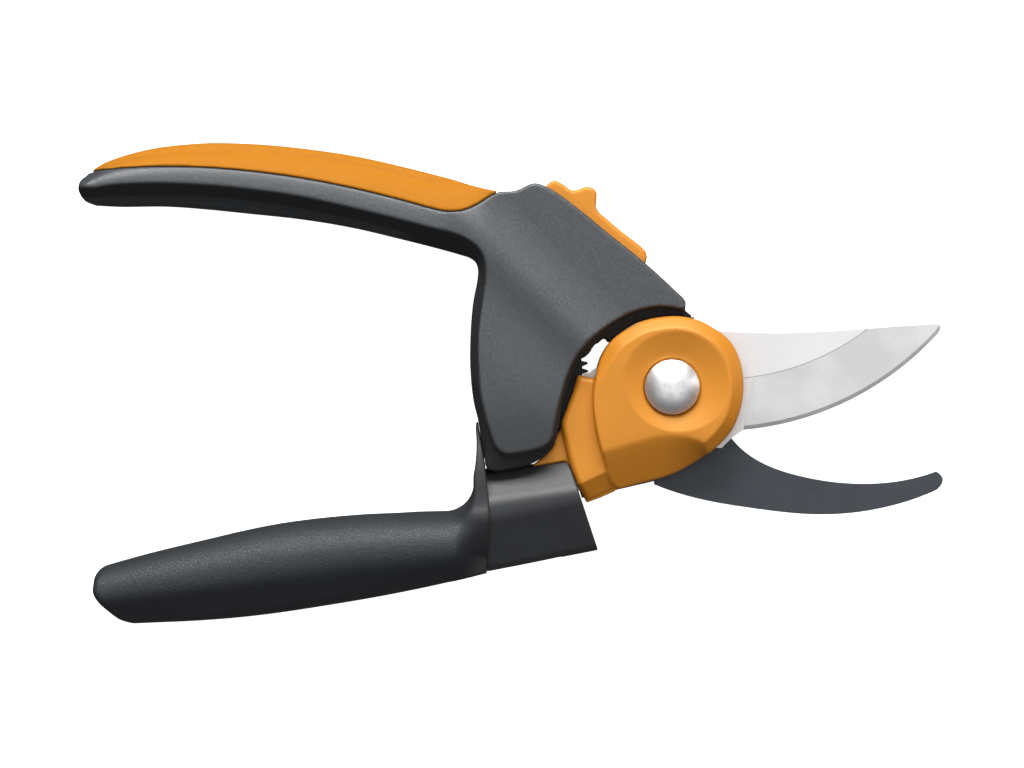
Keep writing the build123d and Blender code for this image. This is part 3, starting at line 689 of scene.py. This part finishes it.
GRIP_BACK = [(-134.6, -42.1), (-125, -39.4), (-113, -36.5), (-103.4, -34.2), (-93.8, -32.3),
             (-84.2, -31), (-74.6, -30.3), (-65, -30), (-58.8, -29.3), (-54.7, -28.4),
             (-52.3, -27.4), (-49.9, -25.4), (-48.4, -23), (-47.2, -19.9), (-46.75, -16.7),
             (-46.65, -12.7), (-46.85, -9.8), (-46.7, -8.2)]
GUARD_FRONT = [(-46.35, -8.2), (-46.15, -9.4), (-45.15, -15.1), (-44.6, -19.4), (-44.2, -22.5),
               (-43.7, -27.0), (-43.5, -31.0), (-43.8, -36.0), (-44.2, -44.6)]
GRIP_BELLY = [(-44.2, -44.6), (-53, -46.8), (-65, -49.4),
              (-74.6, -51.3), (-84.2, -53), (-93.8, -54.5), (-103.4, -55.7), (-113, -56.4),
              (-125, -57), (-129.1, -57.1)]
HUB = [(-45.4, -20.0), (-45.4, -44.9), (-27.4, -40.95), (-26.4, -40.75), (-25.6, -41.1),
       (-24.6, -41.1), (-15.0, -38.5), (-10.0, -20.0), (-20.0, -10.0)]


def flat(*runs):
    """One outline from smooth runs that share their end points."""
    return np.vstack([curve(run)[:-1] for run in runs])


LEVER_OUTLINE = Outline(flat(GRIP_END, GRIP_TOP, HUMP, NOSE, NOSE_WEB, ARC_BY_HEAD, FOOT,
                             BELLY))
LEVER_FACE = Outline(join(curve(FACE_EDGE), [(-160, 48), (-160, 80), (30, 80), (30, 18.7)]))
PAD = Outline(join(curve(PAD_SEAM), [(-30, 75), (-160, 75), (-160, 50)]))
SLOT = Outline(LEVER_SLOT, margin=30.0)
SLIDER_OUTLINE = Outline(SLIDER, margin=4.0, step=0.15)
HEAD_OUTLINE = Outline(curve(HEAD, closed=True))
NECK_OUTLINE = Outline(join(curve(NECK), [(-17.0, -26.5), (-13.6, -25.0), (-8.0, -18.0),
                                          (-8.0, 2.0), (-18.0, 2.0)]))
WEDGE_OUTLINE = Outline([(-24.0, -6.0), (-26.4, -9.8), (-27.6, -12.0), (-28.4, -14.4),
                         (-30.2, -16.3), (-33.4, -19.0), (-25.3, -17.7), (-22.2, -24.0),
                         (-18.0, -22.0), (-18.0, -6.0)])
GRIP_OUTLINE = Outline(flat(GRIP_REAR, GRIP_BACK, GUARD_FRONT, GRIP_BELLY))
HUB_OUTLINE = Outline(HUB)


# ---------------------------------------------------------------- lever
PLATE_HEIGHT, HANDLE_DEPTH = 8.9, 11.6
SLOT_HALF = 7.0                   # the gear's slot, on each side of the cutting plane
GROOVE_DEPTH, GROOVE_HALF = 3.1, 5.0  # the slider's groove in the front edge


def plate_height(x, y):
    """Half thickness of the lever's broad plate, with a soft ridge where the handle starts."""
    past_ridge = 0.69 * (x + 30.0) + 0.72 * (y - 27.0)
    ridge = 1.2 * np.exp(-((past_ridge + 5.5) / 4.5) ** 2)
    plate = PLATE_HEIGHT + 1.9 * (1 - smooth(-5, 7, past_ridge)) + ridge
    plate = plate + 1.0 * smooth(12, 26, -past_ridge)
    below = np.maximum(4.0 - y, 0)
    return plate - 0.005 * np.minimum(below, 12) ** 2 - 0.10 * np.maximum(below - 12, 0)


def handle_height(x, y):
    """Half thickness of the lever's handle, round above its face's lower edge."""
    low, top = interval(x, FACE_EDGE[::-1][:11]), interval(x, GRIP_TOP)
    across = np.clip((y - low) / np.maximum(top - low, 2.0), 0, 1)
    grip = HANDLE_DEPTH * np.sqrt(np.maximum(1 - across ** 2.7, 0)) - 0.25
    return grip - 0.13 * np.clip(y - low, 0, 8)


def lever_height(x, y):
    """Half thickness of the lever, before its edges are rounded."""
    onto_plate = smooth(-60, -42, x)
    top = handle_height(x, y) * (1 - onto_plate) + plate_height(x, y) * onto_plate
    beyond, inside = np.maximum(LEVER_FACE(x, y), 0), np.maximum(-LEVER_OUTLINE(x, y), 0)
    share = beyond / np.maximum(beyond + inside, 0.05)
    rim = top - 0.7 * smooth(0, 0.6, beyond)
    foot = 8.0 - 1.8 * smooth(44.2, 45.2, -x) * smooth(2, -3, y)
    body = rim - (rim - foot) * share ** 1.1
    body = body - 2.4 * smooth(-22, -14, x) * smooth(0, 0.8, beyond)
    fall = top - 1.35 * beyond
    rail = 6.3 - 0.30 * np.maximum(interval(x, RAIL_EDGE) - y, 0)
    handle = np.maximum(fall, rail)
    onto_plate = smooth(-53, -46, x)
    return handle * (1 - onto_plate) + body * onto_plate


def lever_solid(x, y, z):
    """The whole lever, pad included."""
    return both(np.abs(z) - lever_height(x, y), LEVER_OUTLINE(x, y),
                0.5 + 2.2 * (1 - smooth(-60, -50, x)))


def lock_place(x, y):
    """Place along, and out of, the lever's front edge."""
    x, y = x - LOCK_START[0], y - LOCK_START[1]
    return x * LOCK_AXIS[0] + y * LOCK_AXIS[1], y * LOCK_AXIS[0] - x * LOCK_AXIS[1]


def lever_body_field(x, y, z):
    """The hard body: the lever without its pad, its gear slot and the slider's groove."""
    along, out = lock_place(x, y)
    slot = both(SLOT(x, y), np.abs(z) - SLOT_HALF, 0.6)
    groove = both(-GROOVE_DEPTH - out, np.abs(along - 18.0) - 20.5, 0.5)
    groove = both(groove, np.abs(z) - GROOVE_HALF, 0.5)
    body = both(lever_solid(x, y, z), -slot, 0.5)
    body = both(body, -groove, 0.4)
    body = both(body, 0.05 - HEAD_OUTLINE(x, y), 0.05)
    return both(body, -PAD(x, y), 0.3)


def lever_pad_field(x, y, z):
    """The soft pad, a hair away from the hard body at the seam."""
    return both(lever_solid(x, y, z), PAD(x, y) + 0.16, 0.5)


def lever_sides_and_painted_shade(x, y, z):
    """1 on the lever's dark sides, whose near-black is partly painted shade, 0 on its grained
    faces, between them on its rail, and up to 0.42 of painted shade on the face towards its foot.
    """
    rail = smooth(-0.3, 0.5, interval(x, RAIL_EDGE) - y) * smooth(-60, -66, x)
    side = smooth(0.05, 0.45, LEVER_FACE(x, y)) * (1 - 0.45 * rail)
    # painted shade: the face darkens towards its foot
    return np.maximum(side, 0.42 * smooth(2, -15, y))


def slider_field(x, y, z):
    """The lock slider's thumb piece."""
    along, out = lock_place(x, y)
    return both(SLIDER_OUTLINE(along, out), np.abs(z) - 4.6, 0.8)


def make_lever():
    """The moulded lever, its pad and the lock slider."""
    # the side zone carries the lever's painted shade on its sides and towards its foot
    body = moulded("lever_shell", "lever", lever_body_field, (-143, -22, -12.5),
                   (7.5, 54.5, 12.5), 0.5, {"side": lever_sides_and_painted_shade})
    finish_piece(body, "lever_plastic", "lever_body")
    pad = moulded("lever_pad_skin", "lever", lever_pad_field, (-141, 40, -12.5), (-39, 60, 12.5),
                  0.45)
    finish_piece(pad, "orange_pad", "lever_grip_pad")
    slider = moulded("lock_thumb", "lock", slider_field, (-33, 24, -5.4), (-1, 56, 5.4), 0.35)
    finish_piece(slider, "orange_cover", "lock_slider")


# ---------------------------------------------------------------- head covers
# LOWER_CREST is where the head's top turns down into its lower flank, HEAD_BOTTOM the flank's foot
DISH_CENTRE, DISH_RADIUS, DISH_SLOPE = (0.8, 0.7), 13.3, 0.33
HEAD_CREST, NECK_HEIGHT, WEDGE_HEIGHT = 11.0, 6.8, 4.4
FLANK_FOOT = 4.7                  # the head's lower flank ends here, above the screws' tips
BLADE_CLEAR = 21.8                # the front cover's skirt stays outside this radius
FRONT_FLOOR, SKIRT_FLOOR, BACK_FLOOR = 3.35, 0.1, -3.55
BOLT_BORE, BOLT_SEAT = 6.85, 8.25
NUT_BORE, NUT_SEAT = 6.6, -9.5
SCREW_BORE, SCREW_SEAT = 2.95, -5.65
LOWER_CREST = [(-26, -17.4), (-16.1, -15.1), (-9.8, -13.2), (-3.8, -11.6), (-0.2, -11.3),
               (4.6, -12.1), (8.6, -14.5), (12.0, -19.0), (20.0, -30.0)]
HEAD_BOTTOM = [(-26, -24.6), (-16, -24.4), (-10.4, -23.8), (-7.4, -23.0), (-1.4, -21.4),
               (2.2, -19.9), (7.0, -17.0), (10.6, -14.4), (14.2, -10.3), (20.0, -4.0)]


def lower_of(a, b, blend):
    """The lower of two heights, blended where they meet."""
    return (a + b - np.sqrt((a - b) ** 2 + blend ** 2)) / 2


def head_height(x, y, dish):
    """Height of a head cover's outside above the cutting plane."""
    inside = np.maximum(-HEAD_OUTLINE(x, y), 0)
    crown = HEAD_CREST - 0.05 * np.maximum(-(0.45 * x + 0.9 * y) - 1.0, 0)
    bevelled = np.maximum(smooth(-3, 9, y + 0.3 * (x + 17)), smooth(0, 8, x))
    bevel = crown - 0.85 * np.maximum(3.0 * bevelled - inside, 0)
    crest = interval(x, LOWER_CREST)
    below = (np.sqrt((crest - y) ** 2 + 0.5) + (crest - y)) / 2
    share = below / np.maximum(crest - interval(x, HEAD_BOTTOM), 3.0)
    slope = crown - (crown - FLANK_FOOT) * np.minimum(0.85 * share + 0.15 * share ** 2, 1)
    top = lower_of(bevel, slope, 0.35)
    if dish:
        away = np.hypot(x - DISH_CENTRE[0], y - DISH_CENTRE[1])
        top = np.minimum(top, HEAD_CREST - DISH_SLOPE * (DISH_RADIUS - away))
    return top


def neck_height(x, y):
    """Height of the neck's step, which falls away below a slanting crest."""
    crest = -23.4 + 0.47 * (x + 22.6)
    below = crest - y
    rim = np.maximum(1.0 + NECK_OUTLINE(x, y), 0)
    return np.maximum(NECK_HEIGHT - 0.8 * rim - 0.62 * np.maximum(below, 0), 3.4)


def cover_field(x, y, z, dish):
    """One head cover, its outside towards +z."""
    head = both(z - head_height(x, y, dish), HEAD_OUTLINE(x, y), 0.5)
    neck = both(z - neck_height(x, y), NECK_OUTLINE(x, y), 0.5)
    wedge = both(z - WEDGE_HEIGHT, WEDGE_OUTLINE(x, y), 0.5)
    return either(either(head, neck, 0.7), wedge, 0.4)


def front_cover_field(x, y, z):
    """The front cover with its dish, the bolt's counterbore and its skirt."""
    skirt = (np.hypot(x, y) > BLADE_CLEAR) & (y < -13.4) & (x < 3.0)
    floor = np.where(skirt, SKIRT_FLOOR, FRONT_FLOOR)
    cover = both(cover_field(x, y, z, True), floor - z, 0.15)
    bore = both(np.hypot(x, y) - BOLT_BORE, BOLT_SEAT - z, 0.2)
    return both(cover, -bore, 0.25)


def back_cover_field(x, y, z):
    """The back cover with the nut's counterbore and the screws' recesses."""
    cover = both(cover_field(x, y, -z, False), z - BACK_FLOOR, 0.15)
    cover = both(cover, -both(np.hypot(x, y) - NUT_BORE, z - NUT_SEAT, 0.2), 0.25)
    for place in SCREWS:
        away = np.hypot(x - place[0], y - place[1])
        cover = both(cover, -both(away - SCREW_BORE, z - SCREW_SEAT, 0.1), 0.25)
    return cover


def make_covers():
    """The head's front and back covers."""
    front = moulded("head_shell_front", "frame", front_cover_field, (-35, -28, -0.6),
                    (18, 18, 11.8), 0.34)
    finish_piece(front, "orange_cover", "head_cover_front")
    back = moulded("head_shell_back", "frame", back_cover_field, (-35, -28, -11.8),
                   (18, 18, -2.8), 0.4)
    finish_piece(back, "orange_cover", "head_cover_back")


# ---------------------------------------------------------------- rolling handle
GRIP_SECTIONS = [
    # x, top, bottom, upper radius, lower radius, half depth
    (-140, -43.6, -58.0, 6.2, 3.6, 8.6), (-134.6, -42.0, -57.6, 6.8, 4.0, 9.2),
    (-125, -39.4, -57.0, 7.7, 4.6, 10.2), (-113, -36.5, -56.5, 8.6, 5.4, 11.0),
    (-93.8, -32.3, -54.6, 9.6, 6.2, 11.8), (-74.6, -30.3, -51.4, 9.2, 6.0, 11.9),
    (-62, -29.9, -48.8, 8.6, 5.0, 11.6), (-50, -29.6, -46.1, 7.8, 4.2, 11.0),
    (-40, -29.4, -43.7, 6.8, 3.6, 10.4)]
# where the grip's texture fades out towards its belly
GRIP_SMOOTH = [(-140, -49.8), (-125, -48.6), (-100, -46.4), (-82, -45.2), (-64, -43.0),
               (-50, -40.0), (-40, -36.0)]


def teardrop(v, z, top, bottom, upper, lower, depth):
    """Section with a round back, sides that lean in towards the belly, and a round belly."""
    z = np.abs(z) * upper / depth
    span = np.maximum(top - upper - (bottom + lower), 0.5)
    down = (top - upper) - v
    lean = np.clip((upper - lower) / span, 0, 0.98)
    cosine = np.sqrt(1 - lean ** 2)
    side = lean * down + cosine * z
    ahead = cosine * down - lean * z
    cap = np.hypot(down, z) - upper
    belly = np.hypot(down - span, z) - lower
    return np.where(ahead < 0, cap, np.where(ahead > cosine * span, belly, side - upper))


def grip_section(x, y, z):
    """The soft grip's section at each x."""
    columns = [interval(x, [(row[0], row[k]) for row in GRIP_SECTIONS]) for k in range(1, 6)]
    return teardrop(y, z, *columns)


def roll_place(x, y):
    """Place along the roll axis, from the handle's front face, and above the axis."""
    x, y = x - ROLL_FACE[0], y - ROLL_FACE[1]
    return x * ROLL_AXIS[0] + y * ROLL_AXIS[1], y * ROLL_AXIS[0] - x * ROLL_AXIS[1]


def core_section(x, y, z):
    """The hard core's section, with a flat facet along its back."""
    along, up = roll_place(x, y)
    back = np.clip(-along / 24.0, 0, 1.3)
    top = 4.7 + 4.5 * back
    section = teardrop(up, z, top + 1.4, -18.3 + 3.2 * back, 8.8 + 0.9 * back, 3.4, 9.4)
    facet = 0.60 * (up + 2.3 - 4.4 * back) + 0.80 * (np.abs(z) - 9.1)
    return both(both(section, facet, 0.8), up - top, 0.9)


def core_field(x, y, z):
    """The hard core between the guard and the handle's front face, with a dark rib that fills the
    gap under the lever's foot as a dark piece standing for shade.
    """
    along, up = roll_place(x, y)
    # a dark rib up inside the lever's slot that fills the gap under the lever's foot: a dark piece
    # standing for the shade there
    shade_filling_rib = both(np.abs(up - 5.0) - 4.4 + 0.05 * (along + 24), np.abs(z) - 3.0, 0.4)
    core = either(core_section(x, y, z), both(shade_filling_rib, along + 11.5, 0.4))
    lap = 0.2 * smooth(43.6, 44.6, -x) * smooth(26, 32, -y)
    core = both(core + lap, HUB_OUTLINE(x, y), 0.15)
    return both(core, along, 0.35)


def grip_field(x, y, z):
    """The soft grip with its guard, which runs under the hub's edge and over its belly."""
    low = smooth(-52, -45, x) * smooth(28, 33, -y)
    section = grip_section(x, y, z) * (1 - low) + core_section(x, y, z) * low
    width = 9.6 * np.sqrt(np.clip(1 - ((y + 24.0) / 16.4) ** 2, 0.02, 1))
    guard = both(np.abs(x + 45.2) - 2.2, np.abs(z) - width, 0.8)
    edge = 0.12 + 0.25 * smooth(-32, -28, y) + 1.3 * smooth(56, 90, -x)
    return both(either(section, guard, 6.5), GRIP_OUTLINE(x, y), edge)


def grip_grain(x, y, z):
    """1 on the grip's textured back, 0 on its smooth guard, front and belly."""
    low = interval(x, GRIP_SMOOTH) - 1.0
    return smooth(46.5, 52.0, -x) * smooth(-1.6, 1.6, y - low)


def make_roll_handle():
    """The rolling handle's core and grip."""
    core = moulded("roll_hub", "roll_handle", core_field, (-47, -47, -11), (-15, -12, 11), 0.36)
    finish_piece(core, "handle_core", "roll_core")
    grip = moulded("roll_skin", "roll_handle", grip_field, (-140, -59, -12.8), (-24, -7, 12.8),
                   0.5, {"grain": grip_grain})
    finish_piece(grip, "soft_grip", "roll_grip")


# ---------------------------------------------------------------- run
paint_cad_nodes()
make_floor()
make_studio()
make_camera()
make_lever()
make_covers()
make_roll_handle()
